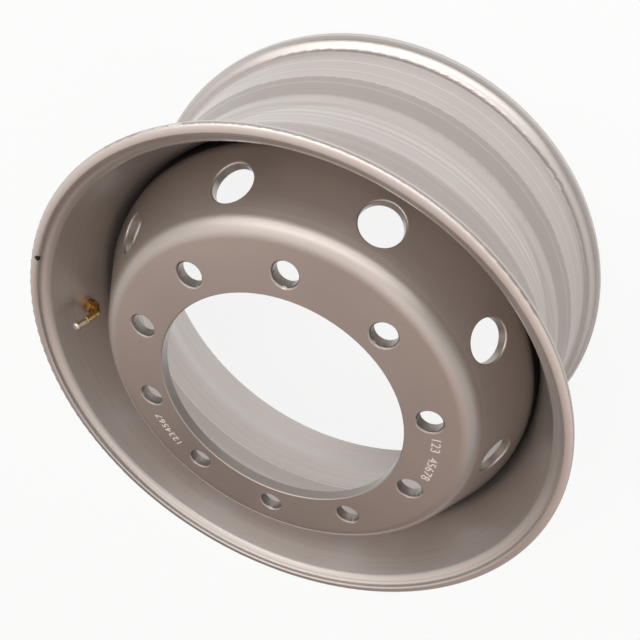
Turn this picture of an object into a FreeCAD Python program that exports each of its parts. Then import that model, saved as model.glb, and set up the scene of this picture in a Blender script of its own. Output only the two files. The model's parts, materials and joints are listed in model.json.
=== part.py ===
"""Steel drop-centre truck wheel with a welded disc and a bent tyre valve.

Millimetres. The origin is the centre of the pilot bore on the disc's hub face.
+Z is the wheel axis and points out of the convex (front) side of the disc.
"""
import FreeCAD, Part
import math
import os

# Rim: sizes of the tyre side, measured across the bead seats and flange walls
bead_seat_diameter = 571.5
rim_width = 228.6
hub_offset = 104.0
bead_angle = 15.0
flange_height = 12.7
flange_lean = 4.0
lip_reach = 16.2
well_depth = 24.75
rear_seat_width = 42.0
rear_slope_angle = 27.2

# Rim: material thickness and bends
rim_thickness = 6.5
wall_thickness = 8.5
lip_thickness = 9.5
crest_bend = 12.7
bead_bend = 6.5
front_well_bend = 40.0
rear_well_bend = 30.0
lip_edge_round = 2.5
lip_root_round = 3.0
bead_back_round = 10.0

# Disc, from its skirt in the rim's well inwards to the pilot bore
skirt_clearance = 0.1
skirt_length = 36.0
cone_run = 45.7
stud_land = 41.2
pilot_land = 27.0
disc_thickness = 14.0
cone_thickness = 10.5
skirt_thickness = 8.0
cone_angle = 30.0
disc_bend = 22.0
skirt_bend = 45.0
edge_chamfer = 1.0

# Stud holes and vents; the vents stand at a share of the cone's run
hole_count = 10
stud_hole_diameter = 26.0
stud_front_chamfer = 2.2
vent_diameter = 42.0
vent_share = 0.484
vent_edge_round = 2.0

# Weld between the disc's skirt and the rim
weld_leg = 7.0
weld_reach = 11.0
weld_bulge = 1.2

# Tyre valve: place in the front slope of the rim, and its bent stem
valve_angle = 51.7
valve_setback = 44.1
valve_lean = 9.7
valve_base_leg = 17.3
valve_outer_leg = 34.0
valve_bend = 8.0
stem_diameter = 8.0
stem_bore = 3.6
valve_fit = 0.05
valve_hole_diameter = 9.8
button_diameter = 19.0
button_thickness = 2.5
grommet_diameter = 18.0
grommet_thickness = 3.0
washer_diameter = 17.0
washer_thickness = 1.6
nut_across_flats = 16.0
nut_thickness = 6.5
nut_corner_cut = 1.0
collar_diameter = 10.6
collar_start = 20.8
collar_length = 1.4
cap_diameter = 10.2
cap_wall_clearance = 0.1
cap_thread_diameter = 7.7
cap_end_thickness = 3.0
cap_end_round = 2.6
cap_seal_thickness = 1.4
core_bore = 5.3
core_length = 14.0
core_plug_length = 6.0
core_neck_diameter = 4.2
core_sink = 0.8
core_pin_diameter = 1.4
core_pin_length = 3.0

# Values that follow from the sizes above
bead_radius = bead_seat_diameter / 2
flange_radius = bead_radius + flange_height
front_wall_z = rim_width / 2 - hub_offset
rear_wall_z = -rim_width / 2 - hub_offset
front_lip_z = front_wall_z + lip_reach
rear_lip_z = rear_wall_z - lip_reach
bead_slope = math.tan(math.radians(bead_angle))
rear_slope = math.tan(math.radians(rear_slope_angle))
well_radius = bead_radius - well_depth
well_inner_radius = well_radius - rim_thickness
skirt_radius = well_inner_radius - skirt_clearance
disc_corner_radius = skirt_radius - cone_run
stud_radius = disc_corner_radius - stud_land
bore_radius = stud_radius - pilot_land
cone_slope = math.tan(math.radians(cone_angle))
skirt_corner_z = disc_thickness - cone_run / cone_slope
skirt_end_z = skirt_corner_z - skirt_length
vent_run = cone_run * vent_share
hole_step = 360.0 / hole_count
stem_radius = stem_diameter / 2
valve_slope_z = front_wall_z - valve_setback
axis_z = FreeCAD.Vector(0, 0, 1)

# Turn of the line where a revolved face closes on itself, clear of the holes and vents
seam_angle = hole_step / 4


def point(r, z):
    return FreeCAD.Vector(r, 0, z)


def offset_corners(corners, thickness):
    """Corners of the line that lies to the right of an open line, one thickness per segment."""
    shifted = []
    for start, end, depth in zip(corners, corners[1:], thickness):
        along = (end - start).normalize()
        side = FreeCAD.Vector(along.z, 0, -along.x) * depth
        shifted.append((start + side, along))
    found = [shifted[0][0]]
    for (a, u), (b, v) in zip(shifted, shifted[1:]):
        reach = ((b.x - a.x) * v.z - (b.z - a.z) * v.x) / (u.x * v.z - u.z * v.x)
        found.append(a + u * reach)
    last, along = shifted[-1]
    found.append(last + along * (corners[-1] - corners[-2]).Length)
    return found


def rounded_face(corners, radii):
    """Closed face in the XZ plane with each corner rounded by its own radius."""
    count = len(corners)
    edges = []
    leave = None
    first = None
    for i, (corner, radius) in enumerate(zip(corners, radii)):
        back = (corners[i - 1] - corner).normalize()
        ahead = (corners[(i + 1) % count] - corner).normalize()
        half = back.getAngle(ahead) / 2
        cut = radius / math.tan(half)
        enter = corner + back * cut
        exit_point = corner + ahead * cut
        if leave is not None:
            edges.append(Part.makeLine(leave, enter))
        if radius > 0:
            bisector = (back + ahead).normalize()
            middle = corner + bisector * (radius / math.sin(half) - radius)
            edges.append(Part.Arc(enter, middle, exit_point).toShape())
        first = first or enter
        leave = exit_point
    edges.append(Part.makeLine(leave, first))
    return Part.Face(Part.Wire(edges))


def turned(corners, radii=None):
    """Solid of revolution about Z from the corners of its half section."""
    face = rounded_face(corners, radii or [0] * len(corners))
    return around(face, seam_angle).revolve(FreeCAD.Vector(), axis_z, 360)


def turned_steps(steps):
    """Solid of revolution from (radius, height) pairs."""
    return turned([point(r, z) for r, z in steps])


def around(shape, angle):
    copy = shape.copy()
    copy.rotate(FreeCAD.Vector(), axis_z, angle)
    return copy


def rim_line():
    """Tyre side of the rim from the front lip to the rear lip."""
    front_well_z = front_wall_z - well_depth / bead_slope
    slope_z = rear_wall_z + rear_seat_width
    slope_radius = bead_radius - rear_seat_width * bead_slope
    rear_well_z = slope_z + (slope_radius - well_radius) / rear_slope
    return [
        point(flange_radius, front_lip_z),
        point(flange_radius, front_wall_z + flange_lean),
        point(bead_radius, front_wall_z),
        point(well_radius, front_well_z),
        point(well_radius, rear_well_z),
        point(slope_radius, slope_z),
        point(bead_radius, rear_wall_z),
        point(flange_radius, rear_wall_z - flange_lean),
        point(flange_radius, rear_lip_z),
    ]


def rim():
    tyre_side = rim_line()
    flange = [lip_thickness, wall_thickness]
    hub_side = offset_corners(tyre_side, flange + [rim_thickness] * 4 + flange[::-1])
    bends = [crest_bend, bead_bend, front_well_bend, rear_well_bend, rear_well_bend,
             bead_bend, crest_bend]
    back_bends = [lip_root_round, bead_back_round, front_well_bend + rim_thickness,
                  rear_well_bend + rim_thickness, rear_well_bend - rim_thickness,
                  bead_back_round, lip_root_round]
    edge = [lip_edge_round]
    solid = turned(tyre_side + hub_side[::-1],
                   edge + bends + edge * 2 + back_bends[::-1] + edge)
    hole = Part.makeCylinder(valve_hole_diameter / 2, rim_thickness * 3, point(0, -rim_thickness * 2))
    return solid.cut(on_valve_base(hole))


def disc_line():
    """Front side of the disc from the bore to the end of the skirt."""
    return [
        point(bore_radius, disc_thickness),
        point(disc_corner_radius, disc_thickness),
        point(skirt_radius, skirt_corner_z),
        point(skirt_radius, skirt_end_z),
    ]


def disc_blank():
    front = disc_line()
    back = offset_corners(front, [disc_thickness, cone_thickness, skirt_thickness])
    back_bends = [0, disc_bend - cone_thickness, skirt_bend + skirt_thickness, 0]
    blank = turned(front + back[::-1], [0, disc_bend, skirt_bend, 0] + back_bends[::-1])
    bore_edges = [e for e in blank.Edges if is_ring(e, bore_radius)]
    return blank.makeChamfer(edge_chamfer, bore_edges)


def is_ring(edge, radius):
    curve = edge.Curve
    return isinstance(curve, Part.Circle) and abs(curve.Radius - radius) < 0.01


def stud_hole():
    """Drill with both countersinks, standing on the stud circle."""
    r = stud_hole_diameter / 2
    front = r + stud_front_chamfer
    rear = r + edge_chamfer
    return turned_steps([
        (0, -edge_chamfer), (rear + edge_chamfer, -edge_chamfer), (rear, 0), (r, edge_chamfer),
        (r, disc_thickness - stud_front_chamfer), (front, disc_thickness),
        (front + edge_chamfer, disc_thickness + edge_chamfer), (0, disc_thickness + edge_chamfer)])


def vent_drill():
    """Cylinder that crosses the cone of the disc at right angles."""
    centre = point(disc_corner_radius + vent_run, disc_thickness - vent_run / cone_slope)
    angle = math.radians(cone_angle)
    out = point(math.cos(angle), math.sin(angle))
    reach = cone_thickness * 2
    return Part.makeCylinder(vent_diameter / 2, reach * 2, centre - out * reach, out)


def wheel_disc():
    solid = disc_blank()
    drill = stud_hole()
    drill.translate(point(stud_radius, 0))
    solid = solid.cut([around(drill, hole_step * i) for i in range(hole_count)])
    drill = around(vent_drill(), hole_step / 2)
    solid = solid.cut([around(drill, hole_step * i) for i in range(hole_count)])
    return solid.makeFillet(vent_edge_round, vent_edges(solid))


def vent_edges(solid):
    walls = [f for f in solid.Faces
             if isinstance(f.Surface, Part.Cylinder) and abs(f.Surface.Radius - vent_diameter / 2) < 0.01]
    return [e for f in walls for e in f.Edges if not isinstance(e.Curve, Part.Line)]


def disc_weld():
    """Fillet weld behind the skirt, with a slightly raised face."""
    root = point(well_inner_radius, skirt_end_z)
    toe = root - point(0, weld_reach)
    top = root - point(weld_leg, 0)
    middle = (toe + top) * 0.5 - point(weld_bulge, weld_bulge)
    edges = [Part.makeLine(top, root), Part.makeLine(root, toe), Part.Arc(toe, middle, top).toShape()]
    return Part.Face(Part.Wire(edges)).revolve(FreeCAD.Vector(), axis_z, 360)


def valve_frame(origin, direction):
    """Placement that puts a piece made along +Z on a line of the valve's own plane."""
    turn = FreeCAD.Rotation(axis_z, direction)
    spin = FreeCAD.Placement(FreeCAD.Vector(), FreeCAD.Rotation(axis_z, valve_angle))
    return spin.multiply(FreeCAD.Placement(origin, turn))


def base_direction():
    angle = math.radians(bead_angle)
    return point(-math.cos(angle), math.sin(angle))


def leg_direction():
    angle = math.radians(valve_lean)
    return point(math.sin(angle), math.cos(angle))


def base_origin():
    """Where the valve's hole leaves the hub side of the front slope."""
    drop = valve_setback * bead_slope
    return point(bead_radius - rim_thickness / math.cos(math.radians(bead_angle)) - drop, valve_slope_z)


def bend_corner():
    return base_origin() + base_direction() * valve_base_leg


def on_valve_base(shape):
    copy = shape.copy()
    copy.Placement = valve_frame(base_origin(), base_direction()).multiply(copy.Placement)
    return copy


def on_valve_leg(shape):
    copy = shape.copy()
    copy.Placement = valve_frame(bend_corner(), leg_direction()).multiply(copy.Placement)
    return copy


def bent_rod(radius, start, end):
    """Round rod along the valve's base line, its bend and its outer leg."""
    base = base_direction()
    leg = leg_direction()
    corner = bend_corner()
    half = (base * -1).getAngle(leg) / 2
    cut = valve_bend / math.tan(half)
    bisector = (leg - base).normalize()
    middle = corner + bisector * (valve_bend / math.sin(half) - valve_bend)
    first = base_origin() + base * start
    path = Part.Wire([
        Part.makeLine(first, corner - base * cut),
        Part.Arc(corner - base * cut, middle, corner + leg * cut).toShape(),
        Part.makeLine(corner + leg * cut, corner + leg * end)])
    ring = Part.Wire(Part.makeCircle(radius, first, base))
    return around(path.makePipeShell([ring], True, False), valve_angle)


def washer_lift():
    """Height at which a flat washer clears the hollow side of the rim."""
    return (washer_diameter / 2) ** 2 / (2 * base_origin().x)


def valve_stem():
    neck = collar_start + collar_length
    button_top = -rim_thickness - grommet_thickness
    button_low = button_top - button_thickness
    rod = bent_rod(stem_radius, button_low, neck)
    button = turned_steps([(0, button_low), (button_diameter / 2, button_low),
                           (button_diameter / 2, button_top), (0, button_top)])
    collar = turned_steps([(0, collar_start), (collar_diameter / 2, collar_start),
                           (collar_diameter / 2, neck), (0, neck)])
    mouth = Part.makeCylinder(cap_thread_diameter / 2, valve_outer_leg - neck, point(0, neck))
    solid = rod.fuse([on_valve_base(button), on_valve_leg(collar), on_valve_leg(mouth)])
    chamber_length = core_length + core_sink
    chamber = Part.makeCylinder(core_bore / 2, chamber_length, point(0, valve_outer_leg - chamber_length))
    passage = bent_rod(stem_bore / 2, button_top - button_thickness, valve_outer_leg - core_length)
    return solid.cut([passage, on_valve_leg(chamber)]).removeSplitter()


def valve_grommet():
    """Rubber seal: a flange under the button and a sleeve in the rim's hole."""
    inner = stem_radius + valve_fit
    sleeve = valve_hole_diameter / 2 - valve_fit
    low = -rim_thickness - grommet_thickness
    high = -rim_thickness
    return on_valve_base(turned_steps([
        (inner, low), (grommet_diameter / 2, low), (grommet_diameter / 2, high), (sleeve, high),
        (sleeve, -edge_chamfer), (inner, -edge_chamfer)]))


def valve_washer():
    low = washer_lift()
    ring = Part.makeCylinder(washer_diameter / 2, washer_thickness, point(0, low))
    hole = Part.makeCylinder(stem_radius + valve_fit, washer_thickness, point(0, low))
    return on_valve_base(ring.cut(hole))


def valve_nut():
    low = washer_lift() + washer_thickness
    corner = nut_across_flats / math.sqrt(3)
    turns = [math.radians(60 * i) for i in range(7)]
    hexagon = [FreeCAD.Vector(corner * math.cos(a), corner * math.sin(a), low) for a in turns]
    blank = Part.Face(Part.makePolygon(hexagon)).extrude(point(0, nut_thickness))
    high = low + nut_thickness
    dome = turned_steps([
        (0, low), (corner, low), (corner, high - nut_corner_cut),
        (nut_across_flats / 2, high), (0, high)])
    hole = Part.makeCylinder(stem_radius + valve_fit, nut_thickness, point(0, low))
    return on_valve_base(blank.common(dome).cut(hole))


def valve_core():
    """Closed core cartridge: screwed plug, neck, seal end and the tip of its pin."""
    top = valve_outer_leg - core_sink
    low = top - core_length + core_sink
    plug = core_bore / 2 - valve_fit
    neck = core_neck_diameter / 2
    pin = core_pin_diameter / 2
    return on_valve_leg(turned_steps([
        (0, low), (neck, low), (neck, top - core_plug_length - core_pin_length),
        (plug, top - core_plug_length - core_pin_length), (plug, top - core_pin_length),
        (pin, top - core_pin_length), (pin, top), (0, top)]))


def valve_cap_seal():
    disc = Part.makeCylinder(cap_thread_diameter / 2, cap_seal_thickness, point(0, valve_outer_leg))
    return on_valve_leg(disc)


def valve_cap():
    start = collar_start + collar_length
    inner_end = valve_outer_leg + cap_seal_thickness
    end = inner_end + cap_end_thickness
    inner = cap_thread_diameter / 2 + cap_wall_clearance
    outer = cap_diameter / 2
    corners = [point(inner, start), point(outer, start), point(outer, end), point(0, end),
               point(0, inner_end), point(inner, inner_end)]
    return on_valve_leg(turned(corners, [0, 0, cap_end_round, 0, 0, 0]))


makers = [rim, wheel_disc, disc_weld, valve_stem, valve_grommet, valve_washer, valve_nut, valve_core,
          valve_cap_seal, valve_cap]

os.makedirs("parts", exist_ok=True)
for maker in makers:
    maker().exportStep("parts/%s.step" % maker.__name__)
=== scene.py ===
"""Looks of a silver-painted steel truck wheel with a bent brass tyre valve, built over its CAD frame."""

import json
import math

import bmesh
import bpy
from bpy.props import FloatProperty, FloatVectorProperty, IntProperty, PointerProperty, StringProperty
from mathutils import Matrix, Vector

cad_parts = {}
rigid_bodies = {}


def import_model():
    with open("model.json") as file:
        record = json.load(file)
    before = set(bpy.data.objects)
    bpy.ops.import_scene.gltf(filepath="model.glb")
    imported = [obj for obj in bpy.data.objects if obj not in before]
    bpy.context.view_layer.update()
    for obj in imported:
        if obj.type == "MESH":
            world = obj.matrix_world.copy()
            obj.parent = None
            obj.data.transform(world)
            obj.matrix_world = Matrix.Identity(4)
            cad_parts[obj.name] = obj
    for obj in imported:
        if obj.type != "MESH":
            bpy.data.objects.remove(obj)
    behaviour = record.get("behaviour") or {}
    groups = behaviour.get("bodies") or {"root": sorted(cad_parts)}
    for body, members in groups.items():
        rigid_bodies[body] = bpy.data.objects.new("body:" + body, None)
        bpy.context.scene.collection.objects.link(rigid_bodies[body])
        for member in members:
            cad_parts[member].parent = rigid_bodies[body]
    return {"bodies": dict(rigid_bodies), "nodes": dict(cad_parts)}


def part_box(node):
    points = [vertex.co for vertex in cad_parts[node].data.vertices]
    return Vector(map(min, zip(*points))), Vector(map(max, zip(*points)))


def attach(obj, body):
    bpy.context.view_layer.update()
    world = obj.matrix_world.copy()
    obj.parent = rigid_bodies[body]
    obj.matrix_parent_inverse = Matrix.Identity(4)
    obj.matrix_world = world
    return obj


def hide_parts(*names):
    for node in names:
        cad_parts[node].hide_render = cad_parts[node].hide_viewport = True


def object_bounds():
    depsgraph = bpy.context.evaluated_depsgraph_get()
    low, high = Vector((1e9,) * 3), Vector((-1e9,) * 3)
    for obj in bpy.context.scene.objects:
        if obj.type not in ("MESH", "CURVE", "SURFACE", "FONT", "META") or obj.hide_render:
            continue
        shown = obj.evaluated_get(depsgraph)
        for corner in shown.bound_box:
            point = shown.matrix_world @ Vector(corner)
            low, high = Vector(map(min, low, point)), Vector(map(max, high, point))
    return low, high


bl_info = {
    "name": "Truck Wheel Looks",
    "version": (1, 0, 0),
    "blender": (4, 5, 0),
    "location": "View3D > Sidebar > Wheel",
    "description": "Paint, weld, stamps and valve finishes for a steel truck wheel",
    "category": "Object",
}

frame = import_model()
cad_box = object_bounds()
BODY = next(iter(frame["bodies"]))
DISC_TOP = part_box("wheel_disc")[1].z
DISC_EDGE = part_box("wheel_disc")[1].x
WHITE = (1.0, 1.0, 1.0, 1.0)


class Value:
    """A number socket of a node tree that takes part in Python sums."""

    def __init__(self, finish, socket):
        self.finish = finish
        self.socket = socket

    def _sum(self, operation, first, second):
        node = self.finish.node("ShaderNodeMath", {"operation": operation}, {0: first, 1: second})
        return Value(self.finish, node.outputs[0])

    def __add__(self, other):
        return self._sum("ADD", self, other)

    def __sub__(self, other):
        return self._sum("SUBTRACT", self, other)

    def __mul__(self, other):
        return self._sum("MULTIPLY", self, other)

    def __pow__(self, other):
        return self._sum("POWER", self, other)

    def __rsub__(self, other):
        return self._sum("SUBTRACT", other, self)

    __radd__ = __add__
    __rmul__ = __mul__

    def below(self, limit, soft):
        """1 under the limit and 0 over it, with a soft step between them."""
        return self.finish.value("ShaderNodeMapRange", {"interpolation_type": "SMOOTHSTEP"},
                                 {"Value": self, "From Min": limit - soft, "From Max": limit + soft,
                                  "To Min": 1.0, "To Max": 0.0}, "Result")


class Finish:
    """A material or world node tree that is written one node at a time."""

    def __init__(self, owner, output):
        owner.use_nodes = True
        self.owner = owner
        self.tree = owner.node_tree
        self.tree.nodes.clear()
        self.output = self.tree.nodes.new(output)

    def node(self, kind, settings=None, inputs=None):
        """New node with its settings made first and then its sockets filled or linked."""
        made = self.tree.nodes.new(kind)
        for key, setting in (settings or {}).items():
            setattr(made, key, setting)
        for key, given in (inputs or {}).items():
            self.plug(made.inputs[key], given)
        return made

    def plug(self, socket, given):
        """Link a socket or a Value to the socket, or set anything else as its own value."""
        if isinstance(given, Value):
            given = given.socket
        if isinstance(given, bpy.types.NodeSocket):
            self.tree.links.new(given, socket)
        else:
            socket.default_value = given

    def value(self, kind, settings, inputs, output=0):
        """One output of a new node, ready for sums."""
        return Value(self, self.node(kind, settings, inputs).outputs[output])

    def place(self):
        """Object coordinates as a vector socket and its three numbers."""
        spot = self.node("ShaderNodeTexCoord").outputs["Object"]
        split = self.node("ShaderNodeSeparateXYZ", None, {0: spot})
        return spot, [Value(self, axis) for axis in split.outputs]

    def noise(self, spot, scale, detail=2.0):
        return self.value("ShaderNodeTexNoise", None, {"Vector": spot, "Scale": scale, "Detail": detail})

    def attribute(self, name):
        return self.value("ShaderNodeAttribute", {"attribute_name": name}, None, "Fac")

    def vector(self, x, y, z):
        return self.node("ShaderNodeCombineXYZ", None, {0: x, 1: y, 2: z}).outputs[0]

    def blend(self, share, first, second):
        """Colour that goes from the first to the second as the share goes from 0 to 1."""
        mix = self.node("ShaderNodeMix", {"data_type": "RGBA"})
        self.plug(mix.inputs[0], share)
        self.plug(mix.inputs[6], first)
        self.plug(mix.inputs[7], second)
        return mix.outputs[2]

    def bump(self, height, strength, distance):
        return self.node("ShaderNodeBump", None,
                         {"Height": height, "Strength": strength, "Distance": distance}).outputs[0]

    def surface(self, **sockets):
        """Principled shader with sockets named by their labels, joined to the output."""
        shader = self.node("ShaderNodeBsdfPrincipled")
        for label, given in sockets.items():
            self.plug(shader.inputs[label.replace("_", " ").title()], given)
        self.tree.links.new(shader.outputs[0], self.output.inputs["Surface"])
        return self.owner


def new_finish(name):
    """Empty material to write a finish into."""
    return Finish(bpy.data.materials.new(name), "ShaderNodeOutputMaterial")


def shaded(colour, amount):
    """Opaque colour made darker or lighter by the amount."""
    return (*(channel * amount for channel in colour), 1.0)


class WheelPaint(bpy.types.PropertyGroup):
    """Silver paint of the rim, the disc and the weld."""

    colour: FloatVectorProperty(
        name="Disc paint", description="Colour of the silver paint on the disc", subtype="COLOR", size=3,
        default=(0.475, 0.422, 0.388))
    rim_colour: FloatVectorProperty(
        name="Rim paint", description="Colour of the silver paint on the rim", subtype="COLOR", size=3,
        default=(0.60, 0.548, 0.515))
    roughness: FloatProperty(
        name="Roughness", description="Mean roughness of the satin paint", default=0.37, min=0.0, max=1.0)
    rim_roughness: FloatProperty(
        name="Rim roughness", description="Mean roughness of the rim's glossier paint on the tyre's side",
        default=0.34, min=0.0, max=1.0)
    gutter_roughness: FloatProperty(
        name="Gutter roughness", description="Roughness added on the rim's hub side",
        default=0.10, min=0.0, max=1.0)
    flake: FloatProperty(
        name="Flake", description="Share of metal flake in the paint", default=0.86, min=0.0, max=1.0)
    grain_scale: FloatProperty(
        name="Grain scale", description="Paint grains in each metre", default=900.0)
    roll_scale: FloatProperty(
        name="Roll line scale", description="Roll lines in each metre across the rim", default=260.0)
    chip_angle: FloatProperty(
        name="Chip angle", description="Place of the paint chip around the front lip",
        default=math.radians(32.2), subtype="ANGLE", unit="ROTATION")
    chip_radius: FloatProperty(
        name="Chip radius", description="Distance of the paint chip from the wheel axis",
        default=0.2902, unit="LENGTH")
    chip_height: FloatProperty(
        name="Chip height", description="Height of the paint chip over the hub face",
        default=0.0262, unit="LENGTH")
    chip_size: FloatProperty(
        name="Chip size", description="Radius of the paint chip", default=0.0034, unit="LENGTH")
    # Width of the painted shade on the disc's edge: the edge is not bare, it is darkened for the shade in
    # the gap to the rim.
    gap_shade_width: FloatProperty(
        name="Seam width", description="Bare edge of the disc in the gap to the rim",
        default=0.0024, unit="LENGTH")
    # Inside this radius the hole walls get painted shade, a darker paint tone for the shade in the holes,
    # and turning marks; they are not bare.
    hole_reach: FloatProperty(
        name="Hole reach", description="Radius around the axis inside which hole walls are bare",
        default=0.186, unit="LENGTH")


class WheelWeld(bpy.types.PropertyGroup):
    """Ripples on the weld between disc and rim."""

    ripples: IntProperty(name="Ripples", description="Weld ripples around the ring", default=360, min=12)
    bead: FloatProperty(
        name="Bead", description="Half width of a weld ripple", default=0.0042, unit="LENGTH")


class WheelStamps(bpy.types.PropertyGroup):
    """Figures stamped into the flat of the disc."""

    first_text: StringProperty(
        name="First stamp", description="Figures of the first stamp", default="123 45678")
    second_text: StringProperty(
        name="Second stamp", description="Figures of the second stamp", default="1234567")
    first_angle: FloatProperty(
        name="First angle", description="Middle of the first stamp around the axis",
        default=math.radians(235.0), subtype="ANGLE", unit="ROTATION")
    second_angle: FloatProperty(
        name="Second angle", description="Middle of the second stamp around the axis",
        default=math.radians(90.0), subtype="ANGLE", unit="ROTATION")
    radius: FloatProperty(
        name="Radius", description="Distance of the stamps' feet from the axis",
        default=0.169, unit="LENGTH")
    height: FloatProperty(name="Height", description="Height of a figure", default=0.0098, unit="LENGTH")
    depth: FloatProperty(name="Depth", description="Relief of a figure", default=0.0003, unit="LENGTH")


class WheelValve(bpy.types.PropertyGroup):
    """Metals and rubber of the tyre valve."""

    brass: FloatVectorProperty(
        name="Brass", description="Colour of the valve's stem", subtype="COLOR", size=3,
        default=(0.62, 0.40, 0.14))
    dark_brass: FloatVectorProperty(
        name="Dark brass", description="Colour of the nut and the washer", subtype="COLOR", size=3,
        default=(0.42, 0.22, 0.07))
    nickel: FloatVectorProperty(
        name="Nickel", description="Colour of the plated cap", subtype="COLOR", size=3,
        default=(0.74, 0.66, 0.52))
    rubber: FloatVectorProperty(
        name="Rubber", description="Colour of the seals", subtype="COLOR", size=3,
        default=(0.022, 0.021, 0.020))


class WheelStage(bpy.types.PropertyGroup):
    """Floor, light and camera."""

    floor_colour: FloatVectorProperty(
        name="Floor", description="Colour of the floor", subtype="COLOR", size=3,
        default=(0.82, 0.82, 0.82))
    floor_radius: FloatProperty(
        name="Floor radius", description="Reach of the floor", default=40.0, unit="LENGTH")
    key_power: FloatProperty(
        name="Key power", description="Power of the key light", default=18.0, unit="POWER")
    tube_power: FloatProperty(
        name="Tube power", description="Power of each tube light", default=1.4, unit="POWER")
    fill_power: FloatProperty(
        name="Fill power", description="Power of the top light", default=1.5, unit="POWER")
    lens: FloatProperty(name="Lens", description="Focal length", default=37.24, unit="CAMERA")
    shift: FloatVectorProperty(
        name="Shift", description="Shift of the picture across and up", size=2, default=(0.0262, 0.16))
    camera_place: FloatVectorProperty(
        name="Camera place", description="Where the camera stands", size=3, unit="LENGTH",
        default=(0.29848, -0.44618, 0.47944))
    camera_forward: FloatVectorProperty(
        name="Camera forward", description="Direction in which the camera looks", size=3,
        default=(-0.45648, 0.59990, -0.65707))
    camera_up: FloatVectorProperty(
        name="Camera up", description="Direction of the top of the picture", size=3,
        default=(0.74719, -0.14247, -0.64916))


def merged_copy(node, name):
    """Plain mesh object with the CAD node's own shape and its doubles merged."""
    mesh = frame["nodes"][node].data.copy()
    mesh.materials.clear()
    work = bmesh.new()
    work.from_mesh(mesh)
    bmesh.ops.remove_doubles(work, verts=work.verts, dist=1e-6)
    work.to_mesh(mesh)
    work.free()
    mesh.name = name
    return add_object(name, mesh)


def add_object(name, data):
    """New object in the scene for a mesh, a curve, a light or a camera."""
    obj = bpy.data.objects.new(name, data)
    bpy.context.scene.collection.objects.link(obj)
    return obj


def smooth(obj, angle):
    """Smooth faces with sharp edges kept over the angle and flat faces weighing more."""
    obj.data.shade_smooth()
    obj.data.set_sharp_from_angle(angle=math.radians(angle))
    weigh = obj.modifiers.new("weigh", "WEIGHTED_NORMAL")
    weigh.keep_sharp = True
    weigh.weight = 100
    baked(obj)


def even_rings(mesh, crease):
    """Give a turned surface one normal all round each ring of its vertices, led by the larger faces."""
    turned = 0.997
    normals = [corner.vector.copy() for corner in mesh.corner_normals]
    rings = {}
    for face in mesh.polygons:
        for corner, vertex in zip(face.loop_indices, face.vertices):
            x, y, z = mesh.vertices[vertex].co
            radius = math.hypot(x, y)
            outward = (face.normal.x * x + face.normal.y * y) / radius
            if math.hypot(outward, face.normal.z) > turned:
                lean = math.atan2(face.normal.z, outward)
                ring = rings.setdefault((round(radius, 5), round(z, 5)), [])
                ring.append((lean, face.area, corner, x / radius, y / radius))
    for ring in rings.values():
        ring.sort()
        group = []
        for place, part in enumerate(ring):
            group.append(part)
            if place + 1 == len(ring) or ring[place + 1][0] - part[0] > crease:
                rise = sum(area * math.sin(lean) for lean, area, *_ in group)
                outward = sum(area * math.cos(lean) for lean, area, *_ in group)
                for _, _, corner, along_x, along_y in group:
                    normals[corner] = Vector((outward * along_x, outward * along_y, rise)).normalized()
                group = []
    mesh.normals_split_custom_set(normals)


def firm_flats(mesh):
    """Give level faces, and the bends that run into them, the level face's own normal."""
    level, near_level = 0.99999, 0.97
    normals = [corner.vector.copy() for corner in mesh.corner_normals]
    flats = {}
    for face in mesh.polygons:
        if abs(face.normal.z) > level:
            flats.update((vertex, face.normal.copy()) for vertex in face.vertices)
    for face in mesh.polygons:
        for corner, vertex in zip(face.loop_indices, face.vertices):
            if vertex in flats and face.normal.dot(flats[vertex]) > near_level:
                normals[corner] = flats[vertex]
    mesh.normals_split_custom_set(normals)


def baked(obj):
    """Turn what an object's modifiers make into its plain mesh."""
    shown = obj.evaluated_get(bpy.context.evaluated_depsgraph_get())
    mesh = bpy.data.meshes.new_from_object(shown)
    obj.modifiers.clear()
    obj.data = mesh


def dress(obj, material):
    """Give an object one material."""
    obj.data.materials.clear()
    obj.data.materials.append(material)


def hand_over(obj, *nodes, slot):
    """Put a finished piece on the wheel's body in place of the CAD nodes."""
    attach(obj, BODY)
    if nodes:
        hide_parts(*nodes)


def hole_walls(z, radius):
    """1 on the walls of the pilot bore and the stud holes, between their chamfers."""
    chamfer, soft = 0.0008, 0.0003
    inside = z.below(DISC_TOP - chamfer, soft) * (1.0 - z.below(chamfer, soft))
    return inside * radius.below(bpy.context.scene.wheel_paint.hole_reach, 0.001)


def gap_edge_shade(z, radius):
    """1 on the disc's bare edge in front of the weld, where it dives into the gap to the rim."""
    weld_top, soft = -0.095, 0.004
    edge = 1.0 - radius.below(DISC_EDGE - bpy.context.scene.wheel_paint.gap_shade_width, 0.001)
    return edge * (1.0 - z.below(weld_top, soft))


def paint_chip(finish, spot, axes):
    """1 on the ragged chip in the front lip's paint."""
    paint = bpy.context.scene.wheel_paint
    ragged, soft = 0.003, 0.0006
    middle = (paint.chip_radius * math.cos(paint.chip_angle),
              paint.chip_radius * math.sin(paint.chip_angle), paint.chip_height)
    away = [axis - place for axis, place in zip(axes, middle)]
    distance = sum(part * part for part in away) ** 0.5
    return (distance + (finish.noise(spot, 420.0) - 0.5) * ragged).below(paint.chip_size, soft)


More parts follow.
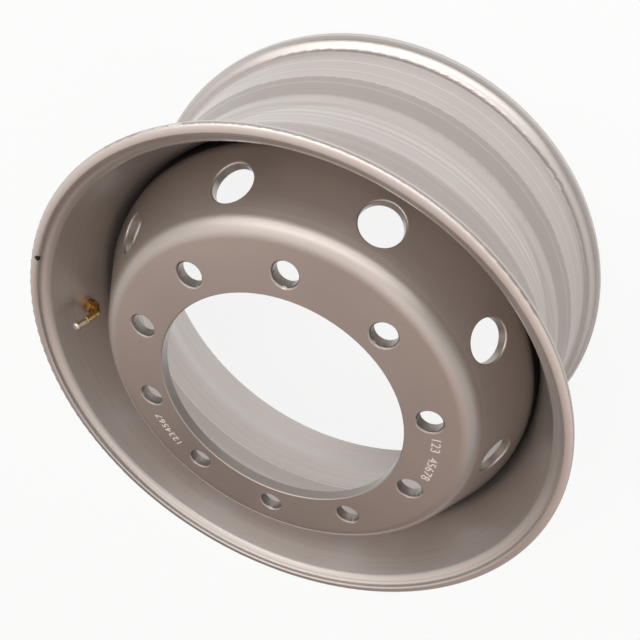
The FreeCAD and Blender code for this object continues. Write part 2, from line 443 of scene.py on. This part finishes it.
def silver_paint(name, base, mean, rolled, on_rim=False):
    """Satin silver paint with grain, faint roll lines round the axis and slow changes of tone."""
    paint = bpy.context.scene.wheel_paint
    finish = new_finish(name)
    spot, (x, y, z) = finish.place()
    radius = (x * x + y * y) ** 0.5
    grain = finish.noise(spot, paint.grain_scale, 1.0)
    cloud = finish.noise(spot, 7.0, 3.0)
    peel = finish.noise(spot, 240.0)
    lines = finish.noise(finish.vector(radius * 0.4, z, 0.0), paint.roll_scale, 3.0)
    waves = finish.noise(finish.vector(radius * 0.3, z, 0.5), paint.roll_scale * 0.4)
    band = finish.noise(finish.vector(0.0, z, 0.25), paint.roll_scale * 0.25, 1.0) - 0.5
    turning = finish.noise(finish.vector(0.0, z, 0.0), 1500.0, 1.0)
    marks = (band * band).below(0.0005, 0.0004) * rolled
    if on_rim:
        tyre_side = finish.attribute("tyre_side")
        marks = marks * tyre_side
    hole_shade_and_turning = hole_walls(z, radius)
    # The roll marks are painted lighter in the tone, a painted highlight along each, and are also raised in
    # the bump.
    tone = (cloud - 0.5) * 0.5 + (grain - 0.5) * 0.16 + (lines - 0.5) * rolled + marks + 0.5
    colour = finish.blend(tone, shaded(base, 0.80), shaded(base, 1.18))
    # Painted shade: hole walls darkened part way towards a third of the paint's colour, standing in for the
    # shade inside the holes.
    colour = finish.blend(hole_shade_and_turning * 0.45, colour, shaded(base, 0.35))
    roughness = (cloud - 0.5) * 0.12 + (grain - 0.5) * 0.06 + mean
    if on_rim:
        chip = paint_chip(finish, spot, (x, y, z))
        # Painted shade: the tyre side's steep faces darkened, standing in for the darker reflection they
        # take.
        colour = finish.blend(finish.attribute("slope_shade") * 0.4, colour, shaded(base, 0.45))
        colour = finish.blend(chip, colour, (0.012, 0.011, 0.010, 1.0))
        roughness = roughness + chip * 0.3 + (1.0 - tyre_side) * paint.gutter_roughness
    else:
        # Painted shade: the disc's edge in the gap to the rim made near black, standing in for the shade
        # that falls in that gap.
        colour = finish.blend(gap_edge_shade(z, radius), colour, shaded(base, 0.03))
    height = (peel * 0.16 + lines * rolled * 0.2 + waves * rolled * 0.7 + grain * 0.03
              + marks + hole_shade_and_turning * turning * 6.0)
    return finish.surface(base_color=colour, roughness=roughness, metallic=paint.flake,
                          coat_weight=0.6, coat_roughness=0.06,
                          normal=finish.bump(height, 0.08, 0.0008))


def turned_brass(name, colour, roughness, dulled):
    """Metal with fine turning marks and patches of tarnish."""
    finish = new_finish(name)
    spot, _ = finish.place()
    grain = finish.noise(spot, 1600.0)
    patch = finish.noise(spot, 130.0, 3.0)
    tone = (patch - 0.5) * 1.2 + (grain - 0.5) * 0.5 + 0.5
    tint = finish.blend(tone, shaded(colour, 1.0 - dulled), shaded(colour, 1.0 + dulled * 0.4))
    return finish.surface(base_color=tint, metallic=0.95,
                          roughness=(patch - 0.5) * 0.25 + (grain - 0.5) * 0.15 + roughness,
                          normal=finish.bump(grain, 0.12, 0.0002))


def seal_rubber(name):
    """Matt rubber with a fine moulded grain."""
    finish = new_finish(name)
    spot, _ = finish.place()
    grain = finish.noise(spot, 1400.0)
    patch = finish.noise(spot, 160.0)
    colour = bpy.context.scene.wheel_valve.rubber
    tint = finish.blend(patch, shaded(colour, 0.7), shaded(colour, 1.6))
    return finish.surface(base_color=tint, roughness=(grain - 0.5) * 0.2 + 0.62,
                          normal=finish.bump(grain, 0.25, 0.0002))


def mark_slopes(mesh):
    """Mark the tyre's side, and on it the slope steeper than a bead seat, where the paint lies thinner."""
    seat_rise, wall_rise = 0.36, 0.6
    leans = [corner.vector.copy() for corner in mesh.corner_normals]
    outward = []
    for loop, lean in zip(mesh.loops, leans):
        place = mesh.vertices[loop.vertex_index].co
        outward.append(lean.x * place.x + lean.y * place.y > 0)
    tyre_side = mesh.attributes.new("tyre_side", "FLOAT", "CORNER")
    tyre_side.data.foreach_set("value", [float(out) for out in outward])
    slope_shade = mesh.attributes.new("slope_shade", "FLOAT", "CORNER")
    steep = [seat_rise < lean.z < wall_rise for lean in leans]
    slope_shade.data.foreach_set("value", [float(out and rise) for out, rise in zip(outward, steep)])


class WHEEL_OT_rim(bpy.types.Operator):
    """Paint the rim over a merged copy of its CAD shape"""

    bl_idname = "wheel.rim"
    bl_label = "Rim"

    def execute(self, context):
        obj = merged_copy("rim", "painted_rim")
        smooth(obj, 40)
        even_rings(obj.data, math.radians(30))
        mark_slopes(obj.data)
        paint = context.scene.wheel_paint
        material = silver_paint("rim silver paint", paint.rim_colour, paint.rim_roughness, 0.5, on_rim=True)
        dress(obj, material)
        hand_over(obj, "rim", slot="silver_paint_rim")
        return {"FINISHED"}


class WHEEL_OT_disc(bpy.types.Operator):
    """Paint the disc over a merged copy of its CAD shape"""

    bl_idname = "wheel.disc"
    bl_label = "Disc"

    def execute(self, context):
        obj = merged_copy("wheel_disc", "painted_disc")
        smooth(obj, 35)
        even_rings(obj.data, math.radians(30))
        firm_flats(obj.data)
        paint = context.scene.wheel_paint
        dress(obj, silver_paint("disc silver paint", paint.colour, paint.roughness, 0.14))
        hand_over(obj, "wheel_disc", slot="silver_paint_disc")
        return {"FINISHED"}


RIPPLE_INSET = 0.64  # how far a ripple's middle stands inside the weld's outer edge, for a bead of 1
RIPPLE_DROP = 0.81  # how far it stands under the weld's top, for a bead of 1


def ripple_tree(material):
    """Node tree that sets flat beads side by side along a ring."""
    tree = bpy.data.node_groups.new("weld ripples", "GeometryNodeTree")
    sockets = {}
    kinds = {"Ring radius": "NodeSocketFloat", "Ripples": "NodeSocketInt", "Bead": "NodeSocketFloat"}
    for label, kind in kinds.items():
        sockets[label] = tree.interface.new_socket(label, in_out="INPUT", socket_type=kind).identifier
    tree.interface.new_socket("Geometry", in_out="OUTPUT", socket_type="NodeSocketGeometry")
    given = tree.nodes.new("NodeGroupInput")
    ring = tree.nodes.new("GeometryNodeCurvePrimitiveCircle")
    points = tree.nodes.new("GeometryNodeCurveToPoints")
    bead = tree.nodes.new("GeometryNodeMeshUVSphere")
    bead.inputs["Segments"].default_value = 12
    bead.inputs["Rings"].default_value = 7
    stretch = tree.nodes.new("GeometryNodeTransform")
    stretch.inputs["Scale"].default_value = (1.0, 1.0, 0.62)
    copies = tree.nodes.new("GeometryNodeInstanceOnPoints")
    real = tree.nodes.new("GeometryNodeRealizeInstances")
    soft = tree.nodes.new("GeometryNodeSetShadeSmooth")
    paint = tree.nodes.new("GeometryNodeSetMaterial")
    paint.inputs["Material"].default_value = material
    out = tree.nodes.new("NodeGroupOutput")
    join = tree.links.new
    join(given.outputs["Ring radius"], ring.inputs["Radius"])
    join(given.outputs["Ripples"], ring.inputs["Resolution"])
    join(given.outputs["Ripples"], points.inputs["Count"])
    join(given.outputs["Bead"], bead.inputs["Radius"])
    join(ring.outputs["Curve"], points.inputs["Curve"])
    join(bead.outputs["Mesh"], stretch.inputs["Geometry"])
    join(points.outputs["Points"], copies.inputs["Points"])
    join(points.outputs["Rotation"], copies.inputs["Rotation"])
    join(stretch.outputs["Geometry"], copies.inputs["Instance"])
    join(copies.outputs["Instances"], real.inputs["Geometry"])
    join(real.outputs["Geometry"], soft.inputs["Geometry"])
    join(soft.outputs["Geometry"], paint.inputs["Geometry"])
    join(paint.outputs["Geometry"], out.inputs["Geometry"])
    return tree, sockets


class WHEEL_OT_weld(bpy.types.Operator):
    """Lay painted weld ripples on the ring between disc and rim"""

    bl_idname = "wheel.weld"
    bl_label = "Weld"

    def execute(self, context):
        weld = context.scene.wheel_weld
        colours = context.scene.wheel_paint
        paint = silver_paint("weld silver paint", colours.rim_colour, colours.roughness, 0.2)
        base = merged_copy("disc_weld", "painted_weld")
        smooth(base, 40)
        dress(base, paint)
        hand_over(base, "disc_weld", slot="silver_paint_weld")
        _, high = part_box("disc_weld")
        ripples = add_object("weld_ripples", bpy.data.meshes.new("weld_ripples"))
        tree, sockets = ripple_tree(paint)
        modifier = ripples.modifiers.new("ripples", "NODES")
        modifier.node_group = tree
        modifier[sockets["Ring radius"]] = high.x - weld.bead * RIPPLE_INSET
        modifier[sockets["Ripples"]] = weld.ripples
        modifier[sockets["Bead"]] = weld.bead
        baked(ripples)
        ripples.data.transform(Matrix.Translation((0, 0, high.z - weld.bead * RIPPLE_DROP)))
        hand_over(ripples, slot="silver_paint_weld")
        return {"FINISHED"}


FONT_SIZE = 1.4  # size of the font for a figure of height 1
FIGURE_STEP = 0.72  # distance between figures of height 1


def figure_mesh(text, height, depth):
    """Mesh of one figure, its foot's middle at the origin and its top along +Y."""
    curve = bpy.data.curves.new("figure", "FONT")
    curve.body = text
    curve.size = height * FONT_SIZE
    curve.align_x = "CENTER"
    curve.extrude = depth
    obj = add_object("figure", curve)
    mesh = bpy.data.meshes.new_from_object(obj.evaluated_get(bpy.context.evaluated_depsgraph_get()))
    bpy.data.objects.remove(obj)
    bpy.data.curves.remove(curve)
    return mesh


def stamped_figures(name, text, middle, material):
    """Row of figures along the stud circle, read with their tops outwards."""
    stamps = bpy.context.scene.wheel_stamps
    step = stamps.height * FIGURE_STEP / stamps.radius
    foot = Matrix.Translation((0, stamps.radius, DISC_TOP))
    work = bmesh.new()
    for place, figure in enumerate(text):
        if figure == " ":
            continue
        angle = middle - (place - (len(text) - 1) / 2) * step
        mesh = figure_mesh(figure, stamps.height, stamps.depth)
        mesh.transform(Matrix.Rotation(angle - math.pi / 2, 4, "Z") @ foot)
        work.from_mesh(mesh)
        bpy.data.meshes.remove(mesh)
    mesh = bpy.data.meshes.new(name)
    work.to_mesh(mesh)
    work.free()
    obj = add_object(name, mesh)
    dress(obj, material)
    hand_over(obj, slot="silver_paint_disc")


def figure_paint(name):
    """Paint worn lighter on the raised edges of the figures."""
    finish = new_finish(name)
    spot, _ = finish.place()
    paint = bpy.context.scene.wheel_paint.colour
    tone = finish.noise(spot, 700.0)
    colour = finish.blend(tone, shaded(paint, 1.3), shaded(paint, 1.9))
    return finish.surface(base_color=colour, metallic=0.2, roughness=(tone - 0.5) * 0.2 + 0.5)


class WHEEL_OT_stamps(bpy.types.Operator):
    """Stamp plain figures between the stud holes"""

    bl_idname = "wheel.stamps"
    bl_label = "Stamps"

    def execute(self, context):
        stamps = context.scene.wheel_stamps
        material = figure_paint("stamped figures")
        stamped_figures("stamp_first", stamps.first_text, stamps.first_angle, material)
        stamped_figures("stamp_second", stamps.second_text, stamps.second_angle, material)
        return {"FINISHED"}


class WHEEL_OT_valve(bpy.types.Operator):
    """Finish the valve's brass, plated and rubber pieces"""

    bl_idname = "wheel.valve"
    bl_label = "Valve"

    def execute(self, context):
        valve = context.scene.wheel_valve
        brass = turned_brass("valve brass", valve.brass, 0.26, 0.35)
        dark = turned_brass("nut brass", valve.dark_brass, 0.34, 0.5)
        nickel = turned_brass("cap nickel", valve.nickel, 0.22, 0.3)
        rubber = seal_rubber("valve rubber")
        pieces = (("valve_stem", brass, "valve_brass"), ("valve_grommet", rubber, "valve_rubber"),
                  ("valve_washer", dark, "washer_brass"), ("valve_nut", dark, "nut_brass"),
                  ("valve_core", brass, "core_brass"), ("valve_cap_seal", rubber, "seal_rubber"),
                  ("valve_cap", nickel, "cap_nickel"))
        for node, material, slot in pieces:
            obj = merged_copy(node, node.replace("valve_", "finished_"))
            smooth(obj, 35)
            dress(obj, material)
            hand_over(obj, node, slot=slot)
        return {"FINISHED"}


def aim(obj, forward, up):
    """Turn an object so that its -Z looks forward and its +Y is up."""
    ahead = Vector(forward).normalized()
    side = ahead.cross(Vector(up)).normalized()
    top = side.cross(ahead)
    obj.rotation_euler = Matrix((side, top, -ahead)).transposed().to_euler()


def area_light(name, power, size, place, target):
    """Rectangular lamp that stands at a place and faces the target."""
    light = bpy.data.lights.new(name, "AREA")
    light.energy = power
    light.shape = "RECTANGLE"
    light.size, light.size_y = size
    obj = add_object(name, light)
    obj.location = place
    aim(obj, Vector(target) - Vector(place), (0, 0, 1))


def floor_finish(colour):
    """Pale floor, nearly white to the camera and in part in reflections, with a faint shadow."""
    near_reach, far_share, dark_side, whiteness = 0.365, 0.45, 0.85, 0.86
    finish = new_finish("pale floor")
    spot, (x, y, _) = finish.place()
    path = finish.node("ShaderNodeLightPath")
    camera, glossy, through = (Value(finish, path.outputs[f"Is {kind} Ray"])
                               for kind in ("Camera", "Glossy", "Transmission"))
    side = 1.0 - (x * 0.8 + y * 0.6).below(-0.16, 0.13) * dark_side
    near = ((x * x + y * y) ** 0.5).below(near_reach, 0.012)
    lit = side * (near * (1.0 - far_share) + far_share)
    seen = camera + (glossy + through) * lit
    tint = finish.blend(finish.noise(spot, 30.0), shaded(colour, 0.99), shaded(colour, 1.01))
    matt = finish.node("ShaderNodeBsdfDiffuse", None, {"Color": tint})
    white = finish.node("ShaderNodeEmission", None, {"Color": WHITE, "Strength": 1.0})
    mix = finish.node("ShaderNodeMixShader", None,
                      {0: seen * whiteness, 1: matt.outputs[0], 2: white.outputs[0]})
    finish.tree.links.new(mix.outputs[0], finish.output.inputs["Surface"])
    return finish.owner


def studio_world():
    """White to the camera, and for light a dim room with soft bright patches on its walls and ceiling."""
    world = bpy.data.worlds.new("studio")
    bpy.context.scene.world = world
    finish = Finish(world, "ShaderNodeOutputWorld")
    spot = finish.node("ShaderNodeTexCoord").outputs["Generated"]
    split = finish.node("ShaderNodeSeparateXYZ", None, {0: spot})
    axes = [Value(finish, axis) for axis in split.outputs]

    def patch(azimuth, elevation, reach, level):
        """Light that is full in its middle and fades to nothing at its reach."""
        turn, lift = math.radians(azimuth), math.radians(elevation)
        middle = (math.cos(turn) * math.cos(lift), math.sin(turn) * math.cos(lift), math.sin(lift))
        towards = sum(axis * part for axis, part in zip(axes, middle))
        return finish.value("ShaderNodeMapRange", {"interpolation_type": "SMOOTHSTEP"},
                            {"Value": towards, "From Min": math.cos(math.radians(reach)), "From Max": 0.97,
                             "To Min": 0.0, "To Max": level}, "Result")

    ceiling = patch(60.0, 80.0, 60.0, 0.30)
    side_window = patch(50.0, 28.0, 60.0, 0.68)
    near_lamp = patch(-25.0, 65.0, 45.0, 0.80)
    near_wall = patch(-56.0, 10.0, 80.0, 0.16)
    far_wall = patch(190.0, 35.0, 60.0, 0.24)
    far_lamp = patch(-140.0, 50.0, 50.0, 0.42)
    room = 0.09
    level = ceiling + side_window + near_lamp + near_wall + far_wall + far_lamp + room
    warm = patch(135.0, 42.0, 50.0, 1.0)
    tint = finish.blend(warm, (1.0, 0.985, 0.97, 1.0), (1.0, 0.74, 0.64, 1.0))
    seen = Value(finish, finish.node("ShaderNodeLightPath").outputs["Is Camera Ray"])
    light = finish.node("ShaderNodeBackground", None, {"Color": tint, "Strength": level})
    plain = finish.node("ShaderNodeBackground", None, {"Color": WHITE, "Strength": 1.0})
    mix = finish.node("ShaderNodeMixShader", None, {0: seen, 1: light.outputs[0], 2: plain.outputs[0]})
    finish.tree.links.new(mix.outputs[0], finish.output.inputs["Surface"])


class WHEEL_OT_stage(bpy.types.Operator):
    """Lay the pale floor and set the lights and the camera"""

    bl_idname = "wheel.stage"
    bl_label = "Stage"

    def execute(self, context):
        stage = context.scene.wheel_stage
        context.scene.view_settings.view_transform = "Standard"
        work = bmesh.new()
        bmesh.ops.create_circle(work, cap_ends=True, segments=96, radius=stage.floor_radius)
        bmesh.ops.translate(work, verts=work.verts, vec=(0, 0, cad_box[0].z))
        mesh = bpy.data.meshes.new("floor")
        work.to_mesh(mesh)
        work.free()
        floor = add_object("floor", mesh)
        dress(floor, floor_finish(stage.floor_colour))
        studio_world()
        wheel_middle = (0, 0, -0.1)
        area_light("key", stage.key_power, (4.4, 1.3), (1.40, -0.85, 1.12), wheel_middle)
        for number, height in enumerate((0.70, 1.60)):
            area_light(f"tube_{number}", stage.tube_power, (2.2, 0.03), (1.30, -0.80, height), wheel_middle)
        area_light("fill", stage.fill_power, (2.0, 2.0), (-0.6, 0.8, 1.9), (0, 0, 0))
        camera = bpy.data.cameras.new("camera")
        camera.lens = stage.lens
        camera.sensor_width = 36.0
        camera.shift_x, camera.shift_y = stage.shift
        camera.clip_start = 0.01
        obj = add_object("camera", camera)
        obj.location = stage.camera_place
        aim(obj, stage.camera_forward, stage.camera_up)
        context.scene.camera = obj
        return {"FINISHED"}


class WHEEL_PT_looks(bpy.types.Panel):
    """Lists the wheel's pieces and their settings"""

    bl_label = "Wheel"
    bl_idname = "WHEEL_PT_looks"
    bl_space_type = "VIEW_3D"
    bl_region_type = "UI"
    bl_category = "Wheel"

    def draw(self, context):
        for operator in OPERATORS:
            self.layout.operator(operator.bl_idname)
        for name in GROUPS:
            group = getattr(context.scene, name)
            column = self.layout.column(heading=group.__doc__)
            for key in group.__annotations__:
                column.prop(group, key)


OPERATORS = (WHEEL_OT_rim, WHEEL_OT_disc, WHEEL_OT_weld, WHEEL_OT_stamps, WHEEL_OT_valve, WHEEL_OT_stage)
GROUPS = {"wheel_paint": WheelPaint, "wheel_weld": WheelWeld, "wheel_stamps": WheelStamps,
          "wheel_valve": WheelValve, "wheel_stage": WheelStage}


def register():
    for name, group in GROUPS.items():
        bpy.utils.register_class(group)
        setattr(bpy.types.Scene, name, PointerProperty(type=group))
    for operator in OPERATORS:
        bpy.utils.register_class(operator)
    bpy.utils.register_class(WHEEL_PT_looks)


def unregister():
    bpy.utils.unregister_class(WHEEL_PT_looks)
    for operator in reversed(OPERATORS):
        bpy.utils.unregister_class(operator)
    for name, group in reversed(GROUPS.items()):
        delattr(bpy.types.Scene, name)
        bpy.utils.unregister_class(group)


def main():
    register()
    bpy.ops.wheel.rim()
    bpy.ops.wheel.disc()
    bpy.ops.wheel.weld()
    bpy.ops.wheel.stamps()
    bpy.ops.wheel.valve()
    bpy.ops.wheel.stage()


if __name__ == "__main__":
    main()
